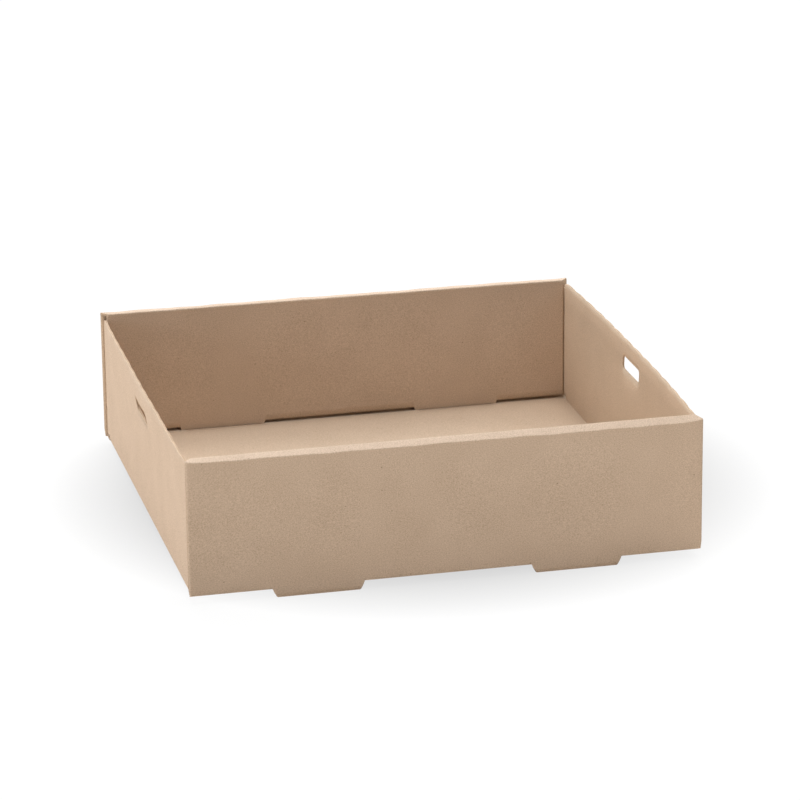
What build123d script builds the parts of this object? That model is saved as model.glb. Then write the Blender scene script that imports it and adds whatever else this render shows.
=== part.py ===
"""Open tray box, die-cut from one sheet of micro-flute corrugated board and folded without glue.

The front and back walls roll over: an outer panel, a narrow top strip and an inner panel whose tabs
lock through slots in the floor. The tongues cut out of those slots stay on the outer panels and point
down as feet. Each side wall is a single ply, and its two corner flaps are held inside the rolled walls.

Frame: X along the rolled walls, Y from front to back, Z up. The origin is under the middle of the
tray, on the surface that the feet stand on.
"""
import os

from build123d import *

os.makedirs("parts", exist_ok=True)

# Driving dimensions, in millimetres
length = 306.0  # outer panels of the rolled walls, along X
depth = 295.0  # outside to outside of the rolled walls, along Y
wall_rise = 80.0  # underside of the floor to the outer crease of the top strip
side_drop = 1.1  # valleys of a side wall's top edge, below the outer crease
board = 1.2  # thickness of the board
roll_rise = 3.1  # how far the inner crease of the top strip stands above the outer one
side_inset = 1.6  # outer face of a side wall, in from the end of the outer panels
side_bow = 3.7  # how far the middle of a side wall's top edge leans outwards
fold_radius = 0.7  # centre-line radius of every fold
ply_gap = 0.3  # air between a corner flap and the outer panel
inner_gap = 1.7  # air between a corner flap and the inner panel
end_gap = 0.6  # air between the end of an inner panel and the side wall

foot_width = 54.0  # foot and floor slot, at the crease
foot_taper = 2.0  # how much each end of a foot comes in towards its tip
foot_drop = 4.9  # foot below the underside of the floor
foot_spacing = 154.0  # between the centres of the two feet on one wall
foot_corner = 1.0  # radius of a foot's lower corners
slot_gap = 0.5  # air round an inner tab in its slot
tab_lift = 0.7  # tip of an inner tab, above the surface that the feet stand on
panel_lift = 1.8  # lower edge of an inner panel above the floor, between its tabs

relief_length = 11.0  # from the face of a rolled wall to the end of a side wall's floor crease
relief_height = 2.6  # corner flaps and side-wall ends above the underside of the floor
corner_relief = 0.8  # what each lower corner of an outer panel loses along the crease
corner_relief_rise = 5.0  # how far up the panel that goes
flap_length = 70.0  # corner flap, from its fold
flap_gap = 2.1  # air between a corner flap's top edge and the top strip's outer crease

scallop_count = 14  # rounded bumps along the top edge of a side wall
scallop_height = 0.6  # each bump above the valleys
hand_slot_length = 35.0
hand_slot_height = 8.6
hand_slot_radius = 2.8
hand_slot_drop = 14.2  # middle of the hand slot, below the side wall's top edge

# Worked out from the driving dimensions
past = 1.0  # how far a cut runs past the face that it cuts
half_length = length / 2
half_depth = depth / 2
half_board = board / 2
floor_under = foot_drop
floor_top = floor_under + board
outer_crease = floor_under + wall_rise
inner_crease = outer_crease + roll_rise
roll_width = 3 * board + ply_gap + inner_gap
roll_inner = half_depth - roll_width
side_top = outer_crease - side_drop
flap_top = outer_crease - board - flap_gap
side_face = half_length - side_inset
inner_panel_end = side_face - board - end_gap
inner_panel_bottom = floor_top + panel_lift
slot_depth = roll_width + slot_gap
foot_slope = foot_taper / foot_drop


def foot_half_width(drop: float) -> float:
    """Half the width of a foot, or of the slot that it left, this far from its crease."""
    return foot_width / 2 - foot_slope * drop


# Half of the floor and one rolled wall, which stands at +Y
with BuildPart() as rolled_half:
    # The folded sheet's section, from the middle of the floor to the lower edge of the inner panel
    with BuildSketch(Plane.YZ):
        with BuildLine():
            FilletPolyline(
                (0, floor_under + half_board),
                (half_depth - half_board, floor_under + half_board),
                (half_depth - half_board, outer_crease - half_board),
                (roll_inner + half_board, inner_crease - half_board),
                (roll_inner + half_board, inner_panel_bottom),
                radius=fold_radius,
            )
        trace(line_width=board)
    extrude(amount=half_length, both=True)

    # The floor stops where the side walls' folds begin, and runs on under the walls' free ends
    floor_end = side_face - board - fold_radius
    for reach, trim_half in ((floor_end, half_depth - relief_length), (side_face, half_depth - board)):
        trim_length = half_length + past - reach
        with BuildSketch(Plane.XY.offset(floor_under - past)):
            with Locations((reach + trim_length / 2, 0), (-reach - trim_length / 2, 0)):
                Rectangle(trim_length, 2 * trim_half)
        extrude(amount=board + 2 * past, mode=Mode.SUBTRACT)

    for side in (-1, 1):
        # The inner panel fits between the side walls, and the top strip widens to the outer panel
        with BuildSketch(Plane.XY.offset(floor_top)):
            with BuildLine():
                Polyline(
                    (side * half_length, half_depth - board),
                    (side * inner_panel_end, roll_inner + board),
                    (side * inner_panel_end, roll_inner - past),
                    (side * (half_length + past), roll_inner - past),
                    (side * (half_length + past), half_depth - board),
                    close=True,
                )
            make_face()
        extrude(amount=inner_crease, mode=Mode.SUBTRACT)

        # The outer panel narrows towards the ends of its floor crease
        with BuildSketch(Plane.XZ.offset(-half_depth - past)):
            with BuildLine():
                Polyline(
                    (side * (half_length - corner_relief), floor_under - past),
                    (side * (half_length - corner_relief), floor_under),
                    (side * half_length, floor_under + corner_relief_rise),
                    (side * (half_length + past), floor_under + corner_relief_rise),
                    (side * (half_length + past), floor_under - past),
                    close=True,
                )
            make_face()
        extrude(amount=board + 2 * past, mode=Mode.SUBTRACT)

    for centre in (-foot_spacing / 2, foot_spacing / 2):
        # Slot through the floor, from the outer panel to just past the inner panel's tab
        with BuildSketch(Plane.XY.offset(floor_under - past)):
            with BuildLine():
                Polyline(
                    (centre - foot_half_width(board), half_depth - board),
                    (centre + foot_half_width(board), half_depth - board),
                    (centre + foot_half_width(slot_depth), half_depth - slot_depth),
                    (centre - foot_half_width(slot_depth), half_depth - slot_depth),
                    close=True,
                )
            make_face()
        extrude(amount=2 * past + board, mode=Mode.SUBTRACT)

        # Foot: the slot's tongue, in the plane of the outer panel
        with BuildSketch(Plane.XZ.offset(-half_depth)):
            with BuildLine():
                Polyline(
                    (centre - foot_width / 2, floor_top + fold_radius),
                    (centre + foot_width / 2, floor_top + fold_radius),
                    (centre + foot_width / 2, floor_under),
                    (centre + foot_half_width(foot_drop), 0),
                    (centre - foot_half_width(foot_drop), 0),
                    (centre - foot_width / 2, floor_under),
                    close=True,
                )
            make_face()
            fillet(vertices().group_by(Axis.Y)[0], radius=foot_corner)
        extrude(amount=board)

        # Locking tab of the inner panel, through the slot
        tab_root = foot_half_width(-board - panel_lift) - slot_gap
        tab_tip = foot_half_width(foot_drop - tab_lift) - slot_gap
        with BuildSketch(Plane.XZ.offset(-roll_inner - board)):
            with BuildLine():
                Polyline(
                    (centre - tab_root, inner_panel_bottom + board),
                    (centre + tab_root, inner_panel_bottom + board),
                    (centre + tab_root, inner_panel_bottom),
                    (centre + tab_tip, tab_lift),
                    (centre - tab_tip, tab_lift),
                    (centre - tab_root, inner_panel_bottom),
                    close=True,
                )
            make_face()
        extrude(amount=board)

# The side wall at +X, with its two corner flaps
with BuildPart() as side_wall:
    wall_line = side_face - half_board
    flap_line = half_depth - board - ply_gap - half_board
    flap_end = side_face - flap_length
    fold_line = wall_line - fold_radius
    wall_end = flap_line - fold_radius
    bottom_and_top = (
        (floor_under + relief_height, 0.0),
        (side_top + scallop_height, side_bow),
    )
    for height, bow in bottom_and_top:
        # Plan section at this height: flap, fold, wall, fold, flap
        with BuildSketch(Plane.XY.offset(height)):
            with BuildLine():
                Line((flap_end, -flap_line), (fold_line, -flap_line))
                RadiusArc((fold_line, -flap_line), (wall_line, -wall_end), -fold_radius)
                if bow:
                    ThreePointArc((wall_line, -wall_end), (wall_line + bow, 0), (wall_line, wall_end))
                else:
                    Line((wall_line, -wall_end), (wall_line, wall_end))
                RadiusArc((wall_line, wall_end), (fold_line, flap_line), -fold_radius)
                Line((fold_line, flap_line), (flap_end, flap_line))
            trace(line_width=board)
    loft(ruled=True)

    # Fold between the wall and the floor, which stops short of the corners
    with BuildSketch(Plane.XZ):
        with BuildLine():
            FilletPolyline(
                (floor_end - past, floor_under + half_board),
                (wall_line, floor_under + half_board),
                (wall_line, floor_under + relief_height),
                radius=fold_radius,
            )
        trace(line_width=board)
    extrude(amount=half_depth - relief_length, both=True)

    # Scalloped top edge between the rolled walls
    scallop_pitch = 2 * roll_inner / scallop_count
    with BuildSketch(Plane.YZ.offset(floor_end)):
        with BuildLine():
            for bump in range(scallop_count):
                start = -roll_inner + bump * scallop_pitch
                ThreePointArc(
                    (start, side_top),
                    (start + scallop_pitch / 2, side_top + scallop_height),
                    (start + scallop_pitch, side_top),
                )
            Polyline(
                (roll_inner, side_top),
                (roll_inner, side_top + scallop_height + past),
                (-roll_inner, side_top + scallop_height + past),
                (-roll_inner, side_top),
            )
        make_face()
    extrude(amount=half_length, mode=Mode.SUBTRACT)

    # The corner flaps and the ends of the wall sit lower, under the top strips
    with BuildSketch(Plane.XY.offset(flap_top)):
        with Locations((half_length / 2, half_depth), (half_length / 2, -half_depth)):
            Rectangle(length, 2 * roll_width)
    extrude(amount=side_top + scallop_height + past - flap_top, mode=Mode.SUBTRACT)

    with BuildSketch(Plane.YZ.offset(floor_end)):
        with Locations((0, side_top - hand_slot_drop)):
            RectangleRounded(hand_slot_length, hand_slot_height, hand_slot_radius)
    extrude(amount=half_length, mode=Mode.SUBTRACT)

with BuildPart() as tray:
    add(rolled_half.part)
    mirror(about=Plane.XZ)
    add(side_wall.part)
    mirror(side_wall.part, about=Plane.YZ)

tray.part.label = "tray"
export_step(tray.part, "parts/tray.step")
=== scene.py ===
"""Open tray box folded from one sheet of kraft micro-flute board, dressed and lit for a render.

The whole sheet is worked out in millimetres as one middle surface, made of patches that are functions
of two parameters. The patches are welded, given the board's thickness, and every cut edge gets its two
liners and the hollow between them. Lengths are in millimetres until a mesh is written, in metres.
"""
import logging
import math
from dataclasses import dataclass
from enum import Enum

import bpy
import numpy as np
from mathutils import Matrix, Vector


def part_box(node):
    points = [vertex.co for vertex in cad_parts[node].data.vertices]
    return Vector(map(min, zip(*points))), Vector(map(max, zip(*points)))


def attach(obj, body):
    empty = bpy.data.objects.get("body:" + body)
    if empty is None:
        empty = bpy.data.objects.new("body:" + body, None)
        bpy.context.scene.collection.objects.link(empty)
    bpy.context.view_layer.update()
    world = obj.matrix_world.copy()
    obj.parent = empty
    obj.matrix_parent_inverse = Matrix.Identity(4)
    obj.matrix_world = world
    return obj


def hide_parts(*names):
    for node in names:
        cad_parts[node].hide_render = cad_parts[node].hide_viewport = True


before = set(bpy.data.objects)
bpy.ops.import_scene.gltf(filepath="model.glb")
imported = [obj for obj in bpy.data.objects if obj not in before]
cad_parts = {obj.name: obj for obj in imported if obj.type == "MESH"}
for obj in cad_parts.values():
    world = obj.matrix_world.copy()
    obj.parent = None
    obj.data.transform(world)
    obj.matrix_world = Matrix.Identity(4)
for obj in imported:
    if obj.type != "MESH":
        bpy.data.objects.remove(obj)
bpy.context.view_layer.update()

log = logging.getLogger("tray")
MM = 0.001
TAU = 2 * math.pi


# ---------------------------------------------------------------------------------------------------
# Sizes


@dataclass(frozen=True)
class TrayPlan:
    """Sizes of the folded tray in millimetres, and the places worked out from them."""

    half_length: float
    half_depth: float
    outer_crease: float = 84.9
    board: float = 1.2
    fold_radius: float = 0.7
    score_radius: float = 0.12
    roll_width: float = 5.6
    roll_rise: float = 2.5
    side_inset: float = 1.6
    side_drop: float = 1.1
    end_gap: float = 0.4
    ply_gap: float = 0.3
    foot_drop: float = 4.9
    foot_width: float = 54.0
    foot_taper: float = 2.0
    foot_spacing: float = 154.0
    foot_corner: float = 1.0
    slot_gap: float = 0.5
    tab_lift: float = 0.7
    panel_lift: float = 2.1
    relief_length: float = 11.0
    relief_height: float = 2.6
    corner_relief: float = 0.6
    corner_relief_rise: float = 5.0
    flap_length: float = 70.0
    flap_gap: float = 2.1
    scallop_count: int = 14
    scallop_height: float = 0.6
    slot_length: float = 35.0
    slot_height: float = 8.6
    slot_radius: float = 2.8
    slot_drop: float = 14.2

    @property
    def half_board(self) -> float:
        """Half the board's thickness, from the middle surface to a liner's face."""
        return self.board / 2

    @property
    def floor_middle(self) -> float:
        """Height of the floor's middle surface."""
        return self.foot_drop + self.half_board

    @property
    def outer_plane(self) -> float:
        """Distance of an outer panel's middle surface from the tray's middle, along Y."""
        return self.half_depth - self.half_board

    @property
    def roll_inner(self) -> float:
        """Distance of a rolled wall's inner face from the tray's middle, along Y."""
        return self.half_depth - self.roll_width

    @property
    def inner_plane(self) -> float:
        """Distance of an inner panel's middle surface from the tray's middle, along Y."""
        return self.roll_inner + self.half_board

    @property
    def side_face(self) -> float:
        """Distance of a side wall's outer face from the tray's middle, at its foot."""
        return self.half_length - self.side_inset

    @property
    def side_plane(self) -> float:
        """Distance of a side wall's middle surface from the tray's middle, at its foot."""
        return self.side_face - self.half_board

    @property
    def floor_end(self) -> float:
        """Where the floor gives way to the side walls' folds, along X."""
        return self.side_face - self.board - self.fold_radius

    @property
    def inner_panel_end(self) -> float:
        """Half the width of an inner panel, between the side walls."""
        return self.side_face - self.board - self.end_gap

    @property
    def inner_panel_bottom(self) -> float:
        """Height of an inner panel's lower edge between its tabs."""
        return self.foot_drop + self.board + self.panel_lift

    @property
    def flap_plane(self) -> float:
        """Distance of a corner flap's middle surface from the tray's middle, along Y."""
        return self.half_depth - self.board - self.ply_gap - self.half_board

    @property
    def wall_end(self) -> float:
        """Where a side wall turns into its corner fold, along Y."""
        return self.flap_plane - self.fold_radius

    @property
    def wall_bottom(self) -> float:
        """Height at which the corner flaps and the free ends of a side wall start."""
        return self.foot_drop + self.relief_height

    @property
    def side_top(self) -> float:
        """Height of the valleys of a side wall's top edge."""
        return self.outer_crease - self.side_drop

    @property
    def flap_top(self) -> float:
        """Height of a corner flap's top edge, under the top strip."""
        return self.outer_crease - self.board - self.flap_gap

    @property
    def slot_middle(self) -> float:
        """Height of the middle of a hand slot."""
        return self.side_top - self.slot_drop

    @property
    def foot_middle(self) -> float:
        """Distance of a foot's middle from the tray's middle, along X."""
        return self.foot_spacing / 2

    def foot_half(self, drop: np.ndarray | float) -> np.ndarray | float:
        """Half the width of a foot, or of the slot that it left.

        Args:
            drop: distance from the foot's crease, towards its tip.

        Returns:
            Half the foot's width there: it narrows in a straight line.
        """
        return self.foot_width / 2 - self.foot_taper * drop / self.foot_drop


# ---------------------------------------------------------------------------------------------------
# Patches of the middle surface


@dataclass
class Patch:
    """A piece of the sheet's middle surface: a grid of points, with its place in the flat blank.

    Where the board is crushed by a score, the inside skin keeps only a share of its half thickness.
    """

    points: np.ndarray
    blank: np.ndarray
    keep: np.ndarray | None = None
    share: np.ndarray | None = None

    def mirrored(self, axis: int) -> "Patch":
        """The patch on the other side of the tray, with its rows reversed so that it faces outwards.

        Args:
            axis: 0 to mirror left to right, 1 to mirror front to back.

        Returns:
            The mirrored patch.
        """
        sign = np.ones(3)
        sign[axis] = -1.0
        keep = None if self.keep is None else self.keep[::-1]
        share = None if self.share is None else self.share[::-1]
        return Patch((self.points * sign)[::-1], (self.blank * sign[:2])[::-1], keep, share)


def rounded_path(corners: list[tuple[float, float]], radius: float, spacing: float) -> np.ndarray:
    """Straight runs joined by tangent arcs.

    At each corner the arc starts and ends at radius times the tangent of half the turn from the
    corner. A corner in line with its neighbours is kept as a point.

    Args:
        corners: the path's corners.
        radius: radius of every arc.
        spacing: greatest distance between points on a straight run.

    Returns:
        The path's points, one row each.
    """
    knots = np.array(corners, float)
    arc_steps = 6
    arcs = [knots[:1]]
    for before, corner, after in zip(knots[:-2], knots[1:-1], knots[2:]):
        into = (corner - before) / np.linalg.norm(corner - before)
        out = (after - corner) / np.linalg.norm(after - corner)
        turn = math.acos(np.clip(into @ out, -1, 1))
        if turn < 1e-6:
            arcs.append(corner[None])
            continue
        reach = radius * math.tan(turn / 2)
        hand = math.copysign(1.0, into[0] * out[1] - into[1] * out[0])
        centre = corner - into * reach + hand * radius * np.array([-into[1], into[0]])
        start = math.atan2(*(corner - into * reach - centre)[::-1])
        angle = start + hand * np.linspace(0, turn, arc_steps + 1)
        arcs.append(centre + radius * np.stack([np.cos(angle), np.sin(angle)], 1))
    arcs.append(knots[-1:])
    runs = [arcs[0]]
    for last, new in zip(arcs[:-1], arcs[1:]):
        steps = max(1, math.ceil(np.linalg.norm(new[0] - last[-1]) / spacing))
        share = np.linspace(0, 1, steps + 1)[1:, None]
        runs.append(last[-1] + share * (new[0] - last[-1]))
        runs.append(new[1:])
    return np.concatenate(runs)


def run_lengths(path: np.ndarray) -> np.ndarray:
    """Distance along a path to each of its points.

    Args:
        path: the points, one row each.

    Returns:
        The running sum of the distances between them, from 0.
    """
    return np.concatenate([[0.0], np.cumsum(np.linalg.norm(np.diff(path, axis=0), axis=1))])


def spaced(low: float, high: float, spacing: float, stops: list[float]) -> np.ndarray:
    """Grid lines that hit every stop, evenly spaced between them.

    Args:
        low: the first line.
        high: the last line.
        spacing: greatest gap between lines.
        stops: places where a line must fall.

    Returns:
        The lines in rising order.
    """
    marks = sorted({low, high, *(s for s in stops if low < s < high)})
    counts = [max(1, math.ceil((b - a) / spacing)) for a, b in zip(marks, marks[1:])]
    spans = [np.linspace(a, b, count + 1)[:-1] for a, b, count in zip(marks, marks[1:], counts)]
    return np.concatenate(spans + [np.array([high])])


class Columns:
    """Grid lines across the rolled walls and the floor, which lean with the feet's tapering sides."""

    def __init__(self, plan: TrayPlan, spacing: float = 5.0, margin: float = 13.0) -> None:
        """Lays the lines out for feet of full width and outer panels of full length.

        Args:
            plan: the tray's sizes.
            spacing: greatest gap between lines.
            margin: the strip at each end that takes up the changes in width.
        """
        self.plan = plan
        self.inside = plan.foot_middle - plan.foot_width / 2
        self.outside = plan.foot_middle + plan.foot_width / 2
        self.fixed = plan.half_length - margin
        corner = plan.foot_corner
        half = [self.inside, self.inside + 0.25 * corner, self.inside + corner, self.outside - corner,
                self.outside - 0.25 * corner, self.outside, self.fixed, plan.half_length - 1.5]
        stops = half + [-s for s in half] + [0.0]
        self.lines = spaced(-plan.half_length, plan.half_length, spacing, stops)

    def foot_span(self, side: int) -> np.ndarray:
        """The lines across one foot.

        Args:
            side: -1 for the foot at the left, 1 for the one at the right.

        Returns:
            The lines from one side of the foot to the other.
        """
        place = side * self.lines
        return self.lines[(place > self.inside - 1e-6) & (place < self.outside + 1e-6)]

    def between_feet(self) -> list[np.ndarray]:
        """The lines left of, between and right of the two feet, as three arrays."""
        x = self.lines
        edge = 1e-6
        return [x[x < -self.outside + edge], x[np.abs(x) < self.inside + edge], x[x > self.outside - edge]]

    def place(self, lines: np.ndarray, foot_half: np.ndarray, half_width: np.ndarray) -> np.ndarray:
        """Where the lines run on rows of the sheet.

        The distance from the middle is stretched in four straight stages: up to the foot, across the
        foot, on to the fixed line, and out to the panel's end.

        Args:
            lines: the lines, as laid out for a full-width foot.
            foot_half: half the foot's width, one value for each row.
            half_width: half the panel's width, one value for each row.

        Returns:
            X for each row and line.
        """
        plan = self.plan
        away = np.abs(lines)[None, :]
        foot = np.asarray(foot_half, float)[:, None]
        width = np.asarray(half_width, float)[:, None]
        middle, full = plan.foot_middle, plan.foot_width / 2
        to_foot = away * (middle - foot) / self.inside
        on_foot = middle + (away - middle) * foot / full
        fixed = self.fixed
        past_foot = middle + foot + (away - self.outside) * (fixed - middle - foot) / (fixed - self.outside)
        at_end = fixed + (away - fixed) * (width - fixed) / (plan.half_length - fixed)
        stretched = np.select([away <= self.inside, away <= self.outside, away <= fixed],
                              [to_foot, on_foot, past_foot], at_end)
        return np.sign(lines)[None, :] * stretched


@dataclass
class RolledWalls:
    """The front and back walls: outer panel, top strip, inner panel, its tabs, and the feet."""

    plan: TrayPlan
    columns: Columns

    def grid(self, lines: np.ndarray, path: np.ndarray, foot_half: np.ndarray, half_width: np.ndarray,
             start: float) -> Patch:
        """Carries a path in the YZ plane across X.

        Args:
            lines: the lines across the patch.
            path: Y and Z of each row.
            foot_half: half the foot's width on each row.
            half_width: half the panel's width on each row.
            start: the first row's place in the blank, along Y.

        Returns:
            The patch at the back of the tray.
        """
        x = self.columns.place(lines, foot_half, half_width)
        y = np.broadcast_to(path[:, :1], x.shape)
        z = np.broadcast_to(path[:, 1:], x.shape)
        along = start + run_lengths(path)
        return Patch(np.stack([x, y, z], -1), np.stack([x, np.broadcast_to(along[:, None], x.shape)], -1))

    def panel_half_width(self, z: np.ndarray) -> np.ndarray:
        """Half the outer panel's width, which narrows near the floor crease.

        Args:
            z: heights on the outer panel.

        Returns:
            Half the width at each height.
        """
        plan = self.plan
        up = np.clip((z - plan.foot_drop) / plan.corner_relief_rise, 0, 1)
        return plan.half_length - plan.corner_relief * (1 - up)

    def wall(self) -> Patch:
        """The outer panel, the top strip and the inner panel, as one rolled surface."""
        plan = self.plan
        relief_end = plan.foot_drop + plan.corner_relief_rise
        warp_start = 20.0
        outer = np.array([plan.outer_plane, plan.outer_crease - plan.half_board])
        inner = np.array([plan.inner_plane, plan.outer_crease + plan.roll_rise - plan.half_board])
        near = 0.35
        step = near * (inner - outer) / np.linalg.norm(inner - outer)
        path = rounded_path(
            [(plan.outer_plane, plan.floor_middle + plan.fold_radius),
             (plan.outer_plane, relief_end),
             outer - (0, near),
             outer,
             outer + step,
             inner - step,
             inner,
             inner - (0, near),
             (plan.inner_plane, warp_start),
             (plan.inner_plane, plan.inner_panel_bottom)],
            plan.score_radius, spacing=5.0)
        y, z = path[:, 0], path[:, 1]
        half_width = np.interp(y, [plan.roll_inner + plan.board, plan.half_depth - plan.board],
                               [plan.inner_panel_end, plan.half_length])
        half_width = np.where(y > plan.outer_plane - 1e-6, self.panel_half_width(z), half_width)
        root = plan.foot_half(-plan.board - plan.panel_lift) - plan.slot_gap
        low = np.clip((warp_start - z) / (warp_start - plan.inner_panel_bottom), 0, 1)
        low = np.where(y < plan.inner_plane + 1e-6, low, 0)
        foot_half = plan.foot_width / 2 + (root - plan.foot_width / 2) * low
        patch = self.grid(self.columns.lines, path, foot_half, half_width, plan.half_depth)
        off_crease = np.minimum(y - plan.inner_plane, plan.outer_plane - y)
        scored = (off_crease > 1e-3) & (off_crease < plan.score_radius + 0.01)
        share = np.where(scored, 0.9 * plan.score_radius / plan.half_board, 1.0)
        patch.share = np.broadcast_to(share[:, None], patch.points.shape[:2])
        return patch

    def feet(self) -> list[Patch]:
        """The outer panel's feet: tongues that narrow downwards and have rounded lower corners."""
        plan = self.plan
        z = np.array([plan.floor_middle + plan.fold_radius, plan.foot_drop, plan.foot_drop / 2, 0.0])
        path = np.stack([np.full_like(z, plan.outer_plane), z], 1)[::-1]
        foot_half = plan.foot_half(np.clip(plan.foot_drop - path[:, 1], 0, None))
        full = np.full(len(z), plan.half_length)
        patches = []
        for side in (-1, 1):
            patch = self.grid(self.columns.foot_span(side), path, foot_half, full, plan.half_depth - z[0])
            inward = foot_half[0] - np.abs(patch.points[0, :, 0] - side * plan.foot_middle)
            corner = plan.foot_corner
            rise = corner - np.sqrt(np.clip(corner**2 - np.clip(corner - inward, 0, corner) ** 2, 0, None))
            patch.points[0, :, 2] = rise
            patches.append(patch)
        return patches

    def tabs(self) -> list[Patch]:
        """The inner panel's locking tabs, through the slots in the floor."""
        plan = self.plan
        z = np.linspace(plan.inner_panel_bottom, plan.tab_lift, 4)
        path = np.stack([np.full_like(z, plan.inner_plane), z], 1)
        root = plan.foot_half(-plan.board - plan.panel_lift) - plan.slot_gap
        tip = plan.foot_half(plan.foot_drop - plan.tab_lift) - plan.slot_gap
        foot_half = np.linspace(root, tip, len(z))
        full = np.full(len(z), plan.half_length)
        start = 2.2 * plan.outer_crease + plan.half_depth
        return [self.grid(self.columns.foot_span(side), path, foot_half, full, start) for side in (-1, 1)]

    def patches(self) -> list[Patch]:
        """Every patch of both rolled walls."""
        back = [self.wall(), *self.feet(), *self.tabs()]
        return back + [patch.mirrored(1) for patch in back]


@dataclass
class SideWalls:
    """The two single-ply side walls, their hand slots, scalloped top edges and corner flaps."""

    plan: TrayPlan
    lean: tuple[float, float] = (1.15, 3.6)
    dent_depth: float = 1.9
    dent_rise: float = 1.6
    dent_height: float = 6.5
    dent_length: float = 38.0

    def lines(self) -> np.ndarray:
        """Grid lines along Y, shared with the floor: closest at the hand slot's rounded corners."""
        plan = self.plan
        half = plan.slot_length / 2
        turn = half - plan.slot_radius * (1 - np.sin(np.linspace(0, TAU / 4, 5)))
        step = 0.5
        ends = [plan.half_depth - plan.relief_length, plan.roll_inner - step, plan.roll_inner]
        stops = [*turn, *(-turn), *ends, *(-e for e in ends), 0.0]
        pitch = 2 * plan.roll_inner / plan.scallop_count
        valleys = [-plan.roll_inner + bump * pitch for bump in range(1, plan.scallop_count)]
        stops += [v for v in valleys if min(abs(v - s) for s in stops) > step]
        return spaced(-plan.wall_end, plan.wall_end, pitch / 6, stops)

    def top(self, y: np.ndarray) -> np.ndarray:
        """Height of the top edge: a row of round bumps with sharp valleys, lower in the corners.

        Args:
            y: places along the wall.

        Returns:
            The height at each: a valley's height plus a share of each bump that is one minus the
            square of the distance from the bump's middle.
        """
        plan = self.plan
        pitch = 2 * plan.roll_inner / plan.scallop_count
        off_middle = 2 * (((y + plan.roll_inner) / pitch) % 1.0) - 1
        bumps = plan.side_top + plan.scallop_height * (1 - off_middle**2)
        return np.where(np.abs(y) < plan.roll_inner - 1e-6, bumps, plan.flap_top)

    def rows(self, y: np.ndarray) -> tuple[np.ndarray, np.ndarray]:
        """Heights of the wall's grid, in three bands: below, beside and above the hand slot.

        Args:
            y: the grid's lines.

        Returns:
            Z for each row and line, and which rows of cells lie in the middle band.
        """
        plan = self.plan
        half_long, half_high = plan.slot_length / 2, plan.slot_height / 2
        into_corner = np.clip(np.abs(y) - (half_long - plan.slot_radius), 0, plan.slot_radius)
        opening = half_high - plan.slot_radius + np.sqrt(plan.slot_radius**2 - into_corner**2)
        below, above = plan.slot_middle - opening, plan.slot_middle + opening
        share = [np.linspace(0, 1, n + 1)[:, None] for n in (14, 2, 4)]
        bands = [plan.wall_bottom + share[0] * (below - plan.wall_bottom),
                 below + share[1][1:] * (above - below),
                 above + share[2][1:] * (self.top(y) - above)]
        middle = np.concatenate([np.zeros(14, bool), np.ones(2, bool), np.zeros(4, bool)])
        return np.concatenate(bands), middle

    def bulge(self, side: int, y: np.ndarray, z: np.ndarray) -> np.ndarray:
        """How far a side wall leans outwards.

        The right wall leans in a straight line up to its top edge, most at the middle of its length
        and falling to nothing at the corners as one minus a power of the distance. The left one leans
        less, evenly along its length, and its board is pressed out in a soft dent above the hand
        slot, which falls off both ways as a bell curve.

        Args:
            side: -1 for the left wall, 1 for the right.
            y: places along the wall.
            z: heights.

        Returns:
            The lean at each place.
        """
        plan = self.plan
        up = np.clip((z - plan.wall_bottom) / (plan.side_top + plan.scallop_height - plan.wall_bottom), 0, 1)
        away = np.abs(y) / plan.wall_end
        if side > 0:
            return self.lean[1] * up * (1 - away**2.6)
        above_slot = plan.slot_middle + plan.slot_height / 2 + self.dent_rise
        dent = np.exp(-((z - above_slot) / self.dent_height) ** 2 - (y / self.dent_length) ** 2)
        return self.lean[0] * up * (1 - away**8) + self.dent_depth * dent

    def wall(self, side: int) -> Patch:
        """One side wall above its fold, with the hand slot left out.

        Args:
            side: -1 for the left wall, 1 for the right.

        Returns:
            The patch, facing outwards.
        """
        plan = self.plan
        y = self.lines()
        z, middle = self.rows(y)
        y = np.broadcast_to(y, z.shape)
        x = plan.side_plane + self.bulge(side, y, z)
        blank = np.stack([plan.side_plane + z, y], -1)
        line_middle = (y[0, 1:] + y[0, :-1]) / 2
        in_slot = np.abs(line_middle) < plan.slot_length / 2
        keep = ~(middle[:, None] & in_slot[None, :])
        patch = Patch(np.stack([x, y, z], -1)[::-1], blank[::-1], keep[::-1])
        return patch if side > 0 else patch.mirrored(0)

    def fold(self, side: int) -> Patch:
        """The fold between the floor and a side wall, which stops short of the corners.

        Args:
            side: -1 for the left wall, 1 for the right.

        Returns:
            The patch, facing outwards.
        """
        plan = self.plan
        reach = plan.half_depth - plan.relief_length + 1e-6
        y = self.lines()
        y = y[np.abs(y) < reach]
        path = rounded_path([(plan.floor_end, plan.floor_middle), (plan.side_plane, plan.floor_middle),
                             (plan.side_plane, plan.wall_bottom)], plan.fold_radius, spacing=5.0)
        return self.swept(path, y, side)

    def swept(self, path: np.ndarray, y: np.ndarray, side: int) -> Patch:
        """Carries a path in the XZ plane along Y.

        Args:
            path: X and Z of each row.
            y: the lines along Y.
            side: -1 for the left of the tray, 1 for the right.

        Returns:
            The patch, facing outwards.
        """
        shape = (len(path), len(y))
        x = np.broadcast_to(path[:, :1], shape)
        z = np.broadcast_to(path[:, 1:], shape)
        along = np.broadcast_to(path[0, 0] + run_lengths(path)[:, None], shape)
        lines = np.broadcast_to(y, shape)
        patch = Patch(np.stack([x, lines, z], -1)[::-1], np.stack([along, lines], -1)[::-1])
        return patch if side > 0 else patch.mirrored(0)

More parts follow.
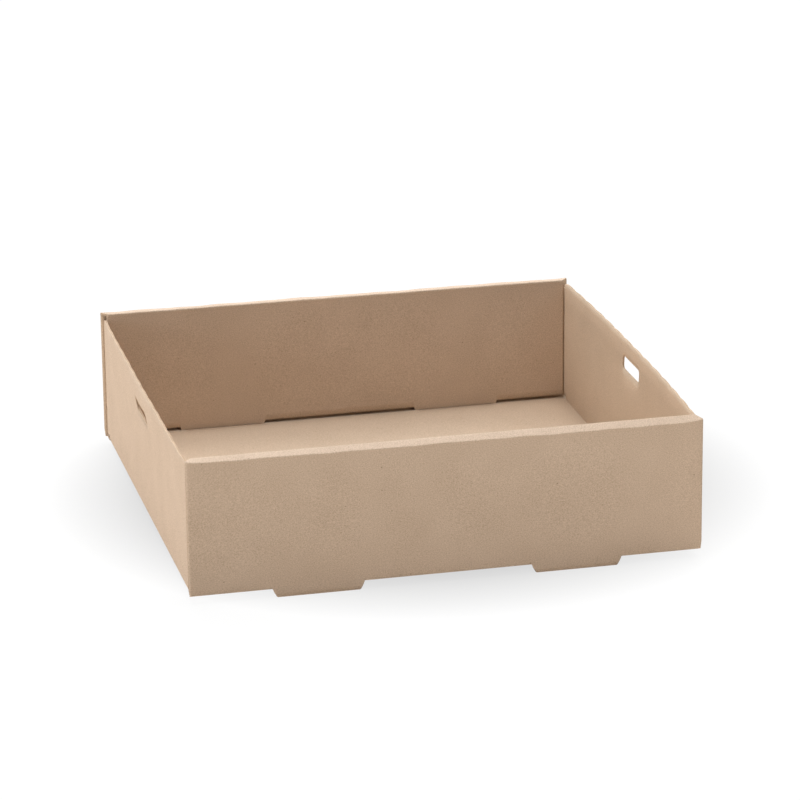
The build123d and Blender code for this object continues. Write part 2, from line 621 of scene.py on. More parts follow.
    def flap(self) -> Patch:
        """The corner flap at the back right, from the wall's end round its fold."""
        plan = self.plan
        end = np.array([plan.wall_end])
        z = self.rows(end)[0][:, 0]
        path = rounded_path([(plan.side_plane, plan.wall_end), (plan.side_plane, plan.flap_plane),
                             (plan.side_face - plan.flap_length, plan.flap_plane)],
                            plan.fold_radius, spacing=6.0)
        shape = (len(z), len(path))
        x = np.broadcast_to(path[:, 0], shape)
        y = np.broadcast_to(path[:, 1], shape)
        heights = np.broadcast_to(z[:, None], shape)
        along = np.broadcast_to(plan.wall_end + run_lengths(path), shape)
        blank = np.stack([plan.side_plane + heights, along], -1)
        return Patch(np.stack([x, y, heights], -1)[::-1], blank[::-1])

    def patches(self) -> list[Patch]:
        """Every patch of both side walls."""
        right = self.flap()
        flaps = [right, right.mirrored(0), right.mirrored(1), right.mirrored(0).mirrored(1)]
        return [make(side) for side in (-1, 1) for make in (self.wall, self.fold)] + flaps


@dataclass
class Floor:
    """The floor, its slots, and its folds up into the outer panels."""

    plan: TrayPlan
    columns: Columns
    rolled: RolledWalls
    sides: SideWalls
    corner_step: float = 0.6

    def grid(self, lines: np.ndarray, y: np.ndarray, z: np.ndarray, foot_half: np.ndarray,
             half_width: np.ndarray) -> Patch:
        """A patch whose rows run along X, from the back towards the front.

        Args:
            lines: the lines across the patch.
            y: the rows' places along Y.
            z: the rows' heights.
            foot_half: half the slot's width on each row.
            half_width: half the floor's width on each row.

        Returns:
            The patch, facing downwards, which is the outside of the tray.
        """
        x = self.columns.place(lines, foot_half, half_width)
        rows = np.broadcast_to(y[:, None], x.shape)
        heights = np.broadcast_to(z[:, None], x.shape)
        points = np.stack([x, rows, heights], -1)
        return Patch(points[::-1], np.stack([x, rows], -1)[::-1])

    def middle(self) -> Patch:
        """The floor between the slots of the two rolled walls."""
        plan = self.plan
        slot_edge = plan.roll_inner - plan.slot_gap
        reach = plan.half_depth - plan.relief_length
        y = self.sides.lines()
        y = y[np.abs(y) < reach + 1e-6][::-1]
        corner = reach + self.corner_step
        y = np.concatenate([[slot_edge, corner], y, [-corner, -slot_edge]])
        relax = 20.0
        narrow = plan.foot_half(plan.roll_width + plan.slot_gap)
        near = np.clip(1 - (slot_edge - np.abs(y)) / relax, 0, 1)
        foot_half = plan.foot_width / 2 + (narrow - plan.foot_width / 2) * near
        flat = np.full(len(y), plan.floor_middle)
        half_width = np.where(np.abs(y) > reach + 0.5 * self.corner_step, plan.side_face, plan.floor_end)
        return self.grid(self.columns.lines, y, flat, foot_half, half_width)

    def edges(self) -> list[Patch]:
        """The bars of floor between the slots at the back, and the folds up to the outer panel."""
        plan = self.plan
        angle = np.linspace(0, TAU / 4, 6)
        fold_y = plan.outer_plane - plan.fold_radius * (1 - np.cos(angle))
        fold_z = plan.floor_middle + plan.fold_radius * (1 - np.sin(angle))
        step = 0.4
        bar_y = np.array([fold_y[-1] - step, fold_y[-1] - 2.5, plan.roll_inner - plan.slot_gap])
        y = np.concatenate([fold_y, bar_y])
        z = np.concatenate([fold_z, np.full(3, plan.floor_middle)])
        in_fold = np.arange(len(y)) < len(angle)
        foot_half = np.where(in_fold, plan.foot_width / 2, plan.foot_half(plan.half_depth - y))
        half_width = np.where(in_fold, self.rolled.panel_half_width(z), plan.side_face)
        return [self.grid(lines, y, z, foot_half, half_width) for lines in self.columns.between_feet()]

    def patches(self) -> list[Patch]:
        """Every patch of the floor."""
        back = self.edges()
        return [self.middle(), *back, *(patch.mirrored(1) for patch in back)]


# ---------------------------------------------------------------------------------------------------
# From patches to a board with thickness


class Surface(Enum):
    """The kinds of surface on the board, in the order of the mesh's material slots."""

    OUTSIDE = 0
    INSIDE = 1
    CUT_LINER = 2
    CORE = 3


@dataclass
class SheetMesh:
    """A mesh being put together: points in millimetres, faces, surface kinds and blank coordinates."""

    points: np.ndarray
    quads: np.ndarray
    kinds: np.ndarray
    blank: np.ndarray

    def joined(self, other: "SheetMesh") -> "SheetMesh":
        """This mesh and another as one.

        Args:
            other: the mesh to add.

        Returns:
            The two together.
        """
        return SheetMesh(np.concatenate([self.points, other.points]),
                         np.concatenate([self.quads, other.quads + len(self.points)]),
                         np.concatenate([self.kinds, other.kinds]),
                         np.concatenate([self.blank, other.blank]))

    def to_object(self, name: str) -> bpy.types.Object:
        """Writes the mesh, in metres, with the blank's coordinates as its UV map.

        Args:
            name: the piece's name.

        Returns:
            The new object, linked to the scene.
        """
        mesh = bpy.data.meshes.new(name)
        mesh.vertices.add(len(self.points))
        mesh.vertices.foreach_set("co", (self.points * MM).astype(np.float32).ravel())
        mesh.loops.add(self.quads.size)
        mesh.loops.foreach_set("vertex_index", self.quads.astype(np.int32).ravel())
        mesh.polygons.add(len(self.quads))
        mesh.polygons.foreach_set("loop_start", np.arange(0, self.quads.size, 4, dtype=np.int32))
        mesh.polygons.foreach_set("material_index", self.kinds.astype(np.int32))
        mesh.polygons.foreach_set("use_smooth", self.kinds < Surface.CUT_LINER.value)
        uv_map = mesh.uv_layers.new(name="blank")
        uv_map.data.foreach_set("uv", (self.blank[self.quads] * MM).astype(np.float32).ravel())
        mesh.update(calc_edges=True)
        mesh.validate()
        piece = bpy.data.objects.new(name, mesh)
        bpy.context.scene.collection.objects.link(piece)
        return piece


def unit(vectors: np.ndarray) -> np.ndarray:
    """Vectors scaled to length 1.

    Args:
        vectors: one vector in each row.

    Returns:
        The same directions, with a zero vector left as it is.
    """
    return vectors / np.maximum(np.linalg.norm(vectors, axis=-1, keepdims=True), 1e-12)


class FoldedSheet:
    """Welds patches into one middle surface and gives it the board's thickness and cut edges."""

    def __init__(self, patches: list[Patch], board: float, liner: float, recess: float) -> None:
        """Welds the patches wherever their points coincide.

        Args:
            patches: the pieces of the middle surface, all facing outwards.
            board: thickness of the board.
            liner: thickness of each liner.
            recess: how far the core sits back from a cut edge.
        """
        self.board, self.liner, self.recess = board, liner, recess
        points, blank, quads, shares, base = [], [], [], [], 0
        for patch in patches:
            rows, lines = patch.points.shape[:2]
            index = base + np.arange(rows * lines).reshape(rows, lines)
            cells = np.stack([index[:-1, :-1], index[1:, :-1], index[1:, 1:], index[:-1, 1:]], -1)
            keep = np.ones(cells.shape[:2], bool) if patch.keep is None else patch.keep
            quads.append(cells[keep])
            points.append(patch.points.reshape(-1, 3))
            blank.append(patch.blank.reshape(-1, 2))
            shares.append(np.ones(rows * lines) if patch.share is None else patch.share.ravel())
            base += rows * lines
        every = np.concatenate(points)
        key = np.round(every * 200 + 0.137).astype(np.int64)
        _, first, inverse = np.unique(key, axis=0, return_index=True, return_inverse=True)
        self.quads = inverse.ravel()[np.concatenate(quads)]
        self.points = every[first]
        self.blank = np.concatenate(blank)[first]
        self.share = np.concatenate(shares)[first]

    def normals(self) -> np.ndarray:
        """Outward direction at each point: the sum of the face normals round it, to length 1."""
        a, b, c, d = (self.points[self.quads[:, i]] for i in range(4))
        face = np.cross(c - a, d - b)
        total = np.zeros_like(self.points)
        for corner in range(4):
            np.add.at(total, self.quads[:, corner], face)
        return unit(total)

    def open_edges(self) -> np.ndarray:
        """The cut edges, as pairs of points in the order in which their faces run."""
        edges = np.concatenate([self.quads[:, [i, (i + 1) % 4]] for i in range(4)])
        edges = edges[edges[:, 0] != edges[:, 1]]
        _, inverse, count = np.unique(np.sort(edges, 1), axis=0, return_inverse=True, return_counts=True)
        return edges[count[inverse.ravel()] == 1]

    def thicken(self) -> SheetMesh:
        """Both skins, and at each cut edge the two liners with the core set back between them.

        A point on a skin is the middle surface plus or minus half the board along the normal. A cut
        edge adds the liners' inner corners, and the same corners moved inwards by the recess.

        Returns:
            The closed board.
        """
        normal = self.normals()
        half = self.board / 2
        hollow = half - self.liner
        inner = (half * self.share)[:, None]
        lower = np.clip(inner - self.liner, 0.02, None)
        edges = self.open_edges()
        run = self.points[edges[:, 1]] - self.points[edges[:, 0]]
        outward = np.zeros_like(self.points)
        for end in range(2):
            np.add.at(outward, edges[:, end], unit(np.cross(run, normal[edges[:, end]])))
        inward = -unit(outward) * self.recess
        layers = [self.points + normal * half, self.points - normal * inner,
                  self.points + normal * hollow, self.points + normal * hollow + inward,
                  self.points - normal * lower + inward, self.points - normal * lower]
        count = len(self.points)
        outside, inside = self.quads, self.quads[:, ::-1] + count
        order = [0, 2, 3, 4, 5, 1]
        kinds = [Surface.CUT_LINER, Surface.CORE, Surface.CORE, Surface.CORE, Surface.CUT_LINER]
        rims = [np.stack([edges[:, 1] + a * count, edges[:, 0] + a * count,
                          edges[:, 0] + b * count, edges[:, 1] + b * count], -1)
                for a, b in zip(order[:-1], order[1:])]
        quads = np.concatenate([outside, inside, *rims])
        kind = np.concatenate([np.full(len(outside), Surface.OUTSIDE.value),
                               np.full(len(inside), Surface.INSIDE.value),
                               *(np.full(len(edges), k.value) for k in kinds)])
        used, packed = np.unique(quads, return_inverse=True)
        points = np.concatenate(layers)[used]
        blank = np.tile(self.blank, (len(layers), 1))[used]
        return SheetMesh(points, packed.reshape(quads.shape), kind, blank)


def flute_ribbon(path: np.ndarray, across: np.ndarray, inward: np.ndarray, along: np.ndarray,
                 pitch: float, swing: float, paper: float, depth: float) -> SheetMesh:
    """The waved medium where it shows at a cut edge: a ribbon that swings between the liners.

    The ribbon's middle line is the edge plus the across direction times the swing times a sine of
    the distance along the edge, one wave to each flute pitch.

    Args:
        path: points on the cut edge's middle line.
        across: direction through the board at each point.
        inward: direction into the sheet at each point.
        along: distance of each point across the flutes, in the blank.
        pitch: distance between flutes.
        swing: half the height of the wave.
        paper: thickness of the medium.
        depth: how far the ribbon reaches into the board.

    Returns:
        The ribbon, as a closed strip.
    """
    wave = swing * np.sin(TAU * along / pitch)[:, None]
    corners = [path + across * (wave + side * paper / 2) + inward * reach
               for side, reach in ((1, 0.0), (-1, 0.0), (-1, depth), (1, depth))]
    points = np.stack(corners, 1)
    count = len(path)
    index = np.arange(count * 4).reshape(count, 4)
    sides = [np.stack([index[:-1, i], index[1:, i], index[1:, (i + 1) % 4], index[:-1, (i + 1) % 4]], -1)
             for i in range(4)]
    caps = np.stack([index[0], index[-1][::-1]])
    quads = np.concatenate([*sides, caps])
    blank = np.repeat(np.stack([np.zeros(count), along], -1), 4, axis=0)
    return SheetMesh(points.reshape(-1, 3), quads, np.full(len(quads), Surface.CUT_LINER.value), blank)


# ---------------------------------------------------------------------------------------------------
# How the board gives and waves


@dataclass(frozen=True)
class Relaxation:
    """Small departures from flat that folding leaves in thin board, in millimetres."""

    plan: TrayPlan
    crease_wave: float = 0.35
    end_curl: float = 1.3
    curl_length: float = 15.0
    front_tilt: float = -0.0044
    back_lift: float = 1.7
    back_tilt: float = -0.0036
    back_crest: float = -0.65
    panel_ripple: float = 0.25
    floor_sag: float = 0.5

    def waves(self, place: np.ndarray, lengths: tuple[float, ...], shift: float) -> np.ndarray:
        """A gentle uneven wave between -1 and 1.

        Args:
            place: distance along the wave, in millimetres.
            lengths: the wavelengths that are added, longest first.
            shift: where the first wave starts, in turns.

        Returns:
            The mean of one sine for each wavelength, each started a little later than the last.
        """
        parts = [np.sin(TAU * (place / length + shift * (1 + 0.7 * i))) for i, length in enumerate(lengths)]
        return sum(parts) / len(parts)

    def apply(self, points: np.ndarray) -> np.ndarray:
        """Moves points by fields that are smooth in space, so that plies that lie together stay so.

        Args:
            points: places on the flat-panelled tray.

        Returns:
            The same places on the relaxed one.
        """
        plan = self.plan
        x, y, z = points.T
        end = np.sign(y)
        back = end > 0
        top = np.clip((z - 62.0) / 20.0, 0, 1) ** 2
        in_roll = np.clip((np.abs(y) - plan.roll_inner + 1.0) / 1.0, 0, 1)
        outer = np.clip((np.abs(y) - plan.inner_plane) / (plan.outer_plane - plan.inner_plane), 0, 1)
        curl = np.clip((np.abs(x) - plan.half_length + self.curl_length) / self.curl_length, 0, 1) ** 2
        shift = 0.18 + 0.31 * back
        wavy = self.crease_wave * self.waves(x, (118.0, 47.0, 26.0), shift)
        crease = wavy + np.where(back, self.back_lift + self.back_tilt * x,
                                 self.front_tilt * x + self.end_curl * curl)
        crest = 0.3 * wavy + np.where(back, self.back_crest + self.back_tilt * x, -0.25)
        lift = top * in_roll * (outer * crease + (1 - outer) * crest)
        height = np.clip((z - plan.foot_drop) / plan.outer_crease, 0, 1)
        belly = 4 * height * (1 - height)
        push = self.panel_ripple * belly * (self.waves(x, (190.0, 71.0), shift + 0.2) - 1)
        rolled = np.clip((np.abs(y) - plan.roll_inner + 1.5) / 1.5, 0, 1)
        on_floor = np.clip(1 - np.abs(z - plan.floor_middle) / 4.0, 0, 1)
        inside = np.clip(1 - (x / plan.floor_end) ** 2, 0, 1) * np.clip(1 - (y / plan.roll_inner) ** 2, 0, 1)
        sag = -self.floor_sag * on_floor * np.sqrt(inside)
        ripple = 0.12 * np.clip((np.abs(x) - plan.inner_panel_end) / 1.0, 0, 1) * (1 - rolled)
        side_wave = ripple * belly * (self.waves(y + 40 * np.sign(x), (93.0, 37.0), 0.3) - 1)
        moved = np.stack([x + np.sign(x) * side_wave, y + end * rolled * push, z + lift + sag], -1)
        return moved


# ---------------------------------------------------------------------------------------------------
# Finishes


def srgb(code: str, alpha: float = 1.0) -> tuple[float, float, float, float]:
    """Turns an sRGB hex colour into the linear values that shaders take.

    Args:
        code: six hex digits.
        alpha: opacity.

    Returns:
        Red, green, blue and alpha.
    """
    parts = [int(code[i:i + 2], 16) / 255 for i in (0, 2, 4)]
    linear = [v / 12.92 if v <= 0.04045 else ((v + 0.055) / 1.055) ** 2.4 for v in parts]
    return (*linear, alpha)


def add_node(tree: bpy.types.NodeTree, kind: str, settings: dict | None = None,
             inputs: dict | None = None) -> bpy.types.Node:
    """Adds a shader node with its settings, values and links.

    Args:
        tree: the material's or the world's tree.
        kind: the node's type.
        settings: properties of the node.
        inputs: a value or an output socket for each input, by name or number.

    Returns:
        The node.
    """
    made = tree.nodes.new(kind)
    for name, value in (settings or {}).items():
        setattr(made, name, value)
    for name, value in (inputs or {}).items():
        if isinstance(value, bpy.types.NodeSocket):
            tree.links.new(value, made.inputs[name])
        else:
            made.inputs[name].default_value = value
    return made


def per_metre(millimetres: float) -> float:
    """The noise scale whose features are about this many millimetres across."""
    return 1 / (millimetres * MM)


def new_tree(name: str) -> tuple[bpy.types.Material, bpy.types.NodeTree]:
    """Starts a material with an empty node tree.

    Args:
        name: the material's name.

    Returns:
        The material and its tree.
    """
    material = bpy.data.materials.new(name)
    material.use_nodes = True
    material.node_tree.nodes.clear()
    return material, material.node_tree


@dataclass(frozen=True)
class KraftLiner:
    """Uncoated brown kraft liner: long wood fibres, unbleached, pressed smooth and left matt.

    The eye sees an even tan with a fine salt-and-pepper mottle, faint clouds, a few dark specks of
    bark, and a trace of the flutes showing through as lines one flute pitch apart.
    """

    name: str
    colour: str = "ccb6a1"
    dark: str = "b39d87"
    light: str = "e0cbb8"
    speck: str = "7d6650"
    speck_spacing: float = 5.5
    speck_share: float = 0.14
    mottle: float = 0.55
    fibre: float = 0.45
    cloud: float = 22.0
    flute_pitch: float = 2.4
    flute_show: float = 0.01
    roughness: float = 0.82

    def build(self) -> bpy.types.Material:
        """Makes the material.

        Returns:
            The material, with its pattern on object and blank coordinates.
        """
        material, tree = new_tree(self.name)
        where = add_node(tree, "ShaderNodeTexCoord").outputs
        blank = add_node(tree, "ShaderNodeUVMap", {"uv_map": "blank"}).outputs["UV"]
        fine = add_node(tree, "ShaderNodeTexNoise", {}, {
            "Vector": where["Object"], "Scale": per_metre(self.mottle), "Detail": 3.0, "Roughness": 0.65})
        stretched = add_node(tree, "ShaderNodeMapping", {}, {"Vector": blank, "Scale": (0.45, 1.0, 1.0)})
        fibres = add_node(tree, "ShaderNodeTexNoise", {}, {
            "Vector": stretched.outputs["Vector"], "Scale": per_metre(self.fibre),
            "Detail": 2.0, "Roughness": 0.6})
        clouds = add_node(tree, "ShaderNodeTexNoise", {}, {
            "Vector": where["Object"], "Scale": per_metre(self.cloud), "Detail": 2.0, "Roughness": 0.5})
        mixed = add_node(tree, "ShaderNodeMix", {"data_type": "FLOAT"}, {
            0: 0.35, 2: fine.outputs["Fac"], 3: fibres.outputs["Fac"]})
        weighed = add_node(tree, "ShaderNodeMix", {"data_type": "FLOAT"}, {
            0: 0.08, 2: mixed.outputs[0], 3: clouds.outputs["Fac"]})
        tone = add_node(tree, "ShaderNodeValToRGB", {}, {"Fac": weighed.outputs[0]})
        stops = tone.color_ramp.elements
        stops[0].position, stops[0].color = 0.36, srgb(self.dark)
        stops[1].position, stops[1].color = 0.66, srgb(self.light)
        stops.new(0.5).color = srgb(self.colour)

        flakes = add_node(tree, "ShaderNodeTexVoronoi", {"feature": "F1"}, {
            "Vector": where["Object"], "Scale": per_metre(self.speck_spacing), "Randomness": 1.0})
        dot = add_node(tree, "ShaderNodeMapRange", {}, {
            "Value": flakes.outputs["Distance"], "From Min": 0.045, "From Max": 0.10,
            "To Min": 1.0, "To Max": 0.0})
        chosen = add_node(tree, "ShaderNodeSeparateColor", {}, {"Color": flakes.outputs["Color"]})
        rare = add_node(tree, "ShaderNodeMath", {"operation": "GREATER_THAN"}, {
            0: chosen.outputs["Red"], 1: 1 - self.speck_share})
        specks = add_node(tree, "ShaderNodeMath", {"operation": "MULTIPLY"}, {
            0: dot.outputs["Result"], 1: rare.outputs[0]})
        faint = add_node(tree, "ShaderNodeMath", {"operation": "MULTIPLY"}, {0: specks.outputs[0], 1: 0.6})
        spotted = add_node(tree, "ShaderNodeMix", {"data_type": "RGBA"}, {
            0: faint.outputs[0], 6: tone.outputs["Color"], 7: srgb(self.speck)})

        split = add_node(tree, "ShaderNodeSeparateXYZ", {}, {"Vector": blank})
        turns = add_node(tree, "ShaderNodeMath", {"operation": "MULTIPLY"}, {
            0: split.outputs["Y"], 1: TAU / (self.flute_pitch * MM)})
        lines = add_node(tree, "ShaderNodeMath", {"operation": "SINE"}, {0: turns.outputs[0]})
        shade = add_node(tree, "ShaderNodeMapRange", {}, {
            "Value": lines.outputs[0], "From Min": -1.0, "From Max": 1.0,
            "To Min": 1.0 - self.flute_show, "To Max": 1.0})
        washed = add_node(tree, "ShaderNodeMix", {"data_type": "RGBA", "blend_type": "MULTIPLY"}, {
            0: 1.0, 6: spotted.outputs[2], 7: shade.outputs["Result"]})

        relief = add_node(tree, "ShaderNodeMix", {"data_type": "FLOAT"}, {
            0: 0.5, 2: fine.outputs["Fac"], 3: fibres.outputs["Fac"]})
        bump = add_node(tree, "ShaderNodeBump", {}, {
            "Strength": 0.35, "Distance": 0.06 * MM, "Height": relief.outputs[0]})
        board = add_node(tree, "ShaderNodeBump", {}, {
            "Strength": 0.5, "Distance": 0.01 * MM, "Height": lines.outputs[0],
            "Normal": bump.outputs["Normal"]})
        shader = add_node(tree, "ShaderNodeBsdfPrincipled", {}, {
            "Base Color": washed.outputs[2], "Roughness": self.roughness, "IOR": 1.45,
            "Specular IOR Level": 0.25, "Normal": board.outputs["Normal"]})
        add_node(tree, "ShaderNodeOutputMaterial", {}, {"Surface": shader.outputs["BSDF"]})
        return material


@dataclass(frozen=True)
class CutBoard:
    """A cut edge of corrugated board: rough paper fibres, a shade lighter than the liner's face."""

    name: str
    colour: str
    dark: str
    grain: float = 0.5

    def build(self) -> bpy.types.Material:
        """Makes the material.

        Returns:
            The material, with its grain on object coordinates.
        """
        material, tree = new_tree(self.name)
        where = add_node(tree, "ShaderNodeTexCoord").outputs
        fuzz = add_node(tree, "ShaderNodeTexNoise", {}, {
            "Vector": where["Object"], "Scale": per_metre(self.grain), "Detail": 3.0, "Roughness": 0.7})
        tone = add_node(tree, "ShaderNodeValToRGB", {}, {"Fac": fuzz.outputs["Fac"]})
        stops = tone.color_ramp.elements
        stops[0].position, stops[0].color = 0.35, srgb(self.dark)
        stops[1].position, stops[1].color = 0.65, srgb(self.colour)
        bump = add_node(tree, "ShaderNodeBump", {}, {
            "Strength": 0.5, "Distance": 0.1 * MM, "Height": fuzz.outputs["Fac"]})
        shader = add_node(tree, "ShaderNodeBsdfPrincipled", {}, {
            "Base Color": tone.outputs["Color"], "Roughness": 0.95, "IOR": 1.45,
            "Specular IOR Level": 0.15, "Normal": bump.outputs["Normal"]})
        add_node(tree, "ShaderNodeOutputMaterial", {}, {"Surface": shader.outputs["BSDF"]})
        return material


# ---------------------------------------------------------------------------------------------------
# The tray


@dataclass
class Tray:
    """The whole folded sheet, as one piece."""

    plan: TrayPlan
    liner: float = 0.25
    recess: float = 0.12
    flute_pitch: float = 2.4
    medium: float = 0.18

    def ribbons(self, sides: SideWalls, relaxation: Relaxation) -> SheetMesh:
        """The flutes that show along the top edges of the side walls.

        Args:
            sides: the side walls.
            relaxation: how the board gives.

        Returns:
            One ribbon for each wall, joined.
        """
        plan = self.plan
        inset = 0.06
        y = np.arange(-plan.roll_inner + 1.0, plan.roll_inner - 1.0, self.flute_pitch / 10)
        made = []
        for side in (-1, 1):
            z = sides.top(y)
            x = side * (plan.side_plane + sides.bulge(side, y, z))
            path = relaxation.apply(np.stack([x, y, z - inset], -1))
            lower = relaxation.apply(np.stack([side * (plan.side_plane + sides.bulge(side, y, z - 1)), y,
                                               z - inset - 1], -1))
            inward = unit(lower - path)
            across = unit(np.cross(np.gradient(path, axis=0), inward))
            swing = plan.half_board - self.liner - self.medium / 2 + 0.02
            made.append(flute_ribbon(path, across, inward, y, self.flute_pitch, swing, self.medium, 1.2))
        return made[0].joined(made[1])

    def build(self) -> bpy.types.Object:
        """Makes the sheet's mesh.

        Returns:
            The piece, with its materials.
        """
        plan = self.plan
        columns = Columns(plan)
        rolled = RolledWalls(plan, columns)
        sides = SideWalls(plan)
        floor = Floor(plan, columns, rolled, sides)
        relaxation = Relaxation(plan)
        sheet = FoldedSheet([*rolled.patches(), *sides.patches(), *floor.patches()],
                            plan.board, self.liner, self.recess)
        sheet.points = relaxation.apply(sheet.points)
        mesh = sheet.thicken().joined(self.ribbons(sides, relaxation))
        piece = mesh.to_object("tray_sheet")
        for finish in self.finishes():
            piece.data.materials.append(finish.build())
        return piece

    def finishes(self) -> list[KraftLiner | CutBoard]:
        """The finishes, in the order of Surface."""
        return [KraftLiner("kraft_liner_outside"),
                KraftLiner("kraft_liner_inside", colour="cbb59e", dark="b8a28a", light="dcc7b1",
                           flute_show=0.015),
                CutBoard("cut_liner_edge", colour="dcc7b2", dark="c4aa90"),
                CutBoard("fluted_core", colour="c4ab92", dark="a88f76")]


# ---------------------------------------------------------------------------------------------------
# Studio


@dataclass(frozen=True)
class Softbox:
    """A distant, even white lamp."""

    name: str
    azimuth: float
    elevation: float
    factor: float
    spread: float

    def build(self) -> None:
        """Adds the lamp.

        The azimuth is clockwise from the back, seen from above, and the elevation is above the
        horizon. A factor of 1 makes a white surface that faces the lamp just white. The spread is
        the lamp's width in the sky, in degrees.
        """
        lamp = bpy.data.lights.new(self.name, "SUN")
        lamp.energy = self.factor * math.pi
        lamp.angle = math.radians(self.spread)
        turn, rise = math.radians(self.azimuth), math.radians(self.elevation)
        towards = Vector((math.sin(turn) * math.cos(rise), math.cos(turn) * math.cos(rise), math.sin(rise)))
        holder = bpy.data.objects.new(self.name, lamp)
        holder.rotation_mode = "QUATERNION"
        holder.rotation_quaternion = towards.to_track_quat("Z", "Y")
        bpy.context.scene.collection.objects.link(holder)


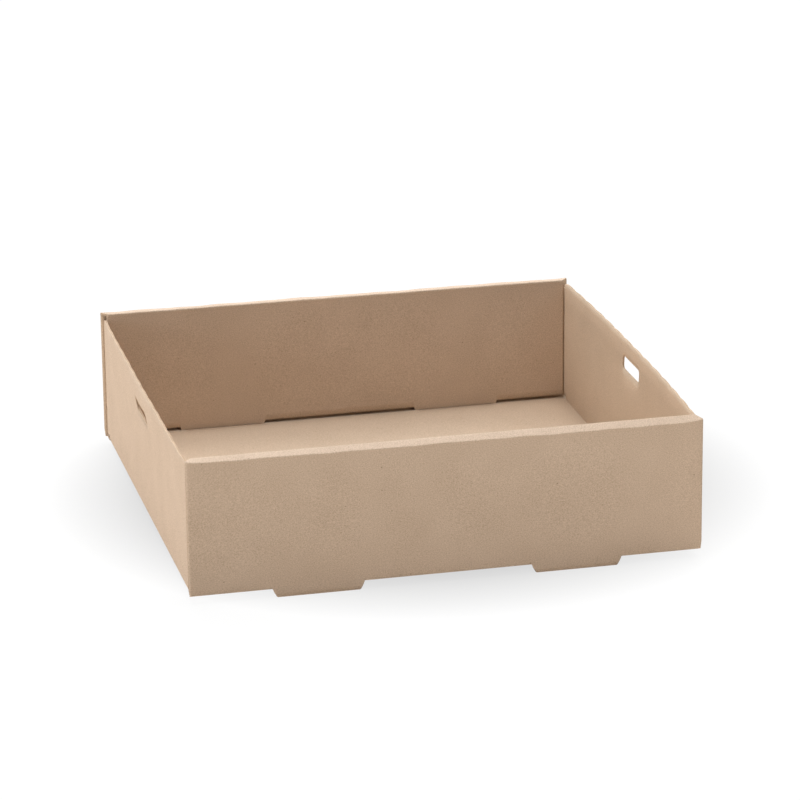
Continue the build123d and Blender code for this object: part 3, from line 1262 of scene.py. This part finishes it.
@dataclass(frozen=True)
class Studio:
    """A white sweep under a faint sky, with softboxes overhead and high behind, and weaker ones round it."""

    sky: float = 0.04
    lamps: tuple[Softbox, ...] = (
        Softbox("overhead_softbox", azimuth=0, elevation=90, factor=0.54, spread=24),
        Softbox("high_back_softbox", azimuth=20, elevation=45, factor=0.92, spread=60),
        Softbox("high_right_softbox", azimuth=95, elevation=50, factor=0.17, spread=50),
        Softbox("left_softbox", azimuth=-100, elevation=14, factor=0.34, spread=20),
        Softbox("low_left_card", azimuth=-90, elevation=1.5, factor=0.15, spread=2),
        Softbox("front_softbox", azimuth=180, elevation=25, factor=0.12, spread=60),
    )
    floor_colour: str = "e9e0d4"
    floor_half: float = 12.0
    # The pool is a painted shadow on the floor, not cast by the lamps: its radius, its darkness at the
    # middle and its middle, in millimetres.
    painted_shadow_radius: float = 228.0
    painted_shadow_depth: float = 0.88
    painted_shadow_middle: tuple[float, float] = (18.0, 19.0)
    contact: float = 0.06

    def build_floor(self) -> None:
        """Lays a large flat floor with a soft pool of shade under the tray.

        To the camera the floor is white, less the pool, which is painted: it fades in a straight line
        from the middle to its radius. Only the contact share of the floor takes the lamps' light, and
        so the tray's own shadow. To every other ray it is plain pale paper.
        """
        reach = self.floor_half
        corners = [(-reach, -reach, 0), (reach, -reach, 0), (reach, reach, 0), (-reach, reach, 0)]
        mesh = bpy.data.meshes.new("studio_floor")
        mesh.from_pydata(corners, [], [(0, 1, 2, 3)])
        floor = bpy.data.objects.new("studio_floor", mesh)
        bpy.context.scene.collection.objects.link(floor)
        material, tree = new_tree("white_paper_sweep")
        where = add_node(tree, "ShaderNodeTexCoord").outputs["Object"]
        middle = [v * MM for v in self.painted_shadow_middle] + [0.0]
        # Painted shadow: the floor's grey fades from darkest at the pool's middle to white at its radius.
        moved = add_node(tree, "ShaderNodeVectorMath", {"operation": "DISTANCE"}, {0: where, 1: middle})
        shade = add_node(tree, "ShaderNodeMapRange", {}, {
            "Value": moved.outputs["Value"], "From Max": self.painted_shadow_radius * MM,
            "To Min": 1 - self.painted_shadow_depth, "To Max": 1.0})
        grey = add_node(tree, "ShaderNodeCombineColor", {}, {
            name: shade.outputs["Result"] for name in ("Red", "Green", "Blue")})
        glow = add_node(tree, "ShaderNodeEmission", {}, {"Color": grey.outputs[0], "Strength": 1.0})
        paper = add_node(tree, "ShaderNodeBsdfDiffuse", {}, {"Color": grey.outputs[0]})
        seen = add_node(tree, "ShaderNodeMixShader", {}, {
            0: self.contact, 1: glow.outputs[0], 2: paper.outputs[0]})
        plain = add_node(tree, "ShaderNodeBsdfDiffuse", {}, {"Color": srgb(self.floor_colour)})
        sweep = add_node(tree, "ShaderNodeMixShader", {}, {
            0: self.seen_directly(tree), 1: plain.outputs[0], 2: seen.outputs[0]})
        add_node(tree, "ShaderNodeOutputMaterial", {}, {"Surface": sweep.outputs[0]})
        mesh.materials.append(material)

    def seen_directly(self, tree: bpy.types.NodeTree) -> bpy.types.NodeSocket:
        """Tells the rays that carry the background to the eye from those that light the tray.

        Args:
            tree: the tree to add to.

        Returns:
            1 for a camera, glossy or transmission ray, and 0 for any other.
        """
        path = add_node(tree, "ShaderNodeLightPath").outputs
        first = add_node(tree, "ShaderNodeMath", {"operation": "MAXIMUM"}, {
            0: path["Is Camera Ray"], 1: path["Is Glossy Ray"]})
        both = add_node(tree, "ShaderNodeMath", {"operation": "MAXIMUM"}, {
            0: first.outputs[0], 1: path["Is Transmission Ray"]})
        return both.outputs[0]

    def build_sky(self) -> None:
        """An even sky, which the camera sees as pure white."""
        world = bpy.data.worlds.new("studio_sky")
        world.use_nodes = True
        tree = world.node_tree
        tree.nodes.clear()
        white = srgb("ffffff")
        lit = add_node(tree, "ShaderNodeBackground", {}, {"Color": white, "Strength": self.sky})
        seen = add_node(tree, "ShaderNodeBackground", {}, {"Color": white, "Strength": 1.0})
        sky = add_node(tree, "ShaderNodeMixShader", {}, {
            0: self.seen_directly(tree), 1: lit.outputs[0], 2: seen.outputs[0]})
        add_node(tree, "ShaderNodeOutputWorld", {}, {"Surface": sky.outputs[0]})
        bpy.context.scene.world = world

    def build(self) -> None:
        """Sets up the floor, the sky and the lamps."""
        self.build_floor()
        self.build_sky()
        for lamp in self.lamps:
            lamp.build()


@dataclass(frozen=True)
class View:
    """A long lens that looks down on the tray from in front and a little to the left."""

    azimuth: float = 13.207
    elevation: float = 18.464
    roll: float = -0.62
    distance: float = 2272.5
    lens: float = 179.06
    aside: float = -120.5
    below: float = -112.9

    def build(self, plan: TrayPlan) -> None:
        """Makes the scene's camera.

        The camera's frame is turned by the azimuth, the elevation and the roll. The tray's lower
        front left corner then lies at the given places to the side of, below and in front of it.

        Args:
            plan: the tray's sizes.
        """
        turn, down, roll = (math.radians(v) for v in (self.azimuth, self.elevation, self.roll))
        ahead = Vector((math.sin(turn) * math.cos(down), math.cos(turn) * math.cos(down), -math.sin(down)))
        level = Vector((math.cos(turn), -math.sin(turn), 0))
        upright = level.cross(ahead)
        right = level * math.cos(roll) + upright * math.sin(roll)
        up = upright * math.cos(roll) - level * math.sin(roll)
        corner = Vector((-plan.half_length, -plan.half_depth, plan.foot_drop))
        place = (corner - right * self.aside - up * self.below - ahead * self.distance) * MM
        data = bpy.data.cameras.new("long_lens")
        data.lens = self.lens
        data.sensor_width = 36.0
        data.clip_start, data.clip_end = 0.05, 100.0
        camera = bpy.data.objects.new("long_lens", data)
        turned = Matrix((right, up, -ahead)).transposed().to_4x4()
        camera.matrix_world = Matrix.Translation(place) @ turned
        bpy.context.scene.collection.objects.link(camera)
        bpy.context.scene.camera = camera


def main() -> None:
    """Builds the tray, the studio and the camera."""
    logging.basicConfig(level=logging.INFO, format="%(name)s: %(message)s")
    low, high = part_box("tray")
    plan = TrayPlan(half_length=153.0, half_depth=(high.y - low.y) / 2 / MM)
    piece = Tray(plan).build()
    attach(piece, "root")
    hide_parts("tray")
    log.info("%s: %d faces", piece.name, len(piece.data.polygons))
    Studio().build()
    View().build(plan)
    bpy.context.scene.view_settings.view_transform = "Standard"


if __name__ == "__main__":
    main()
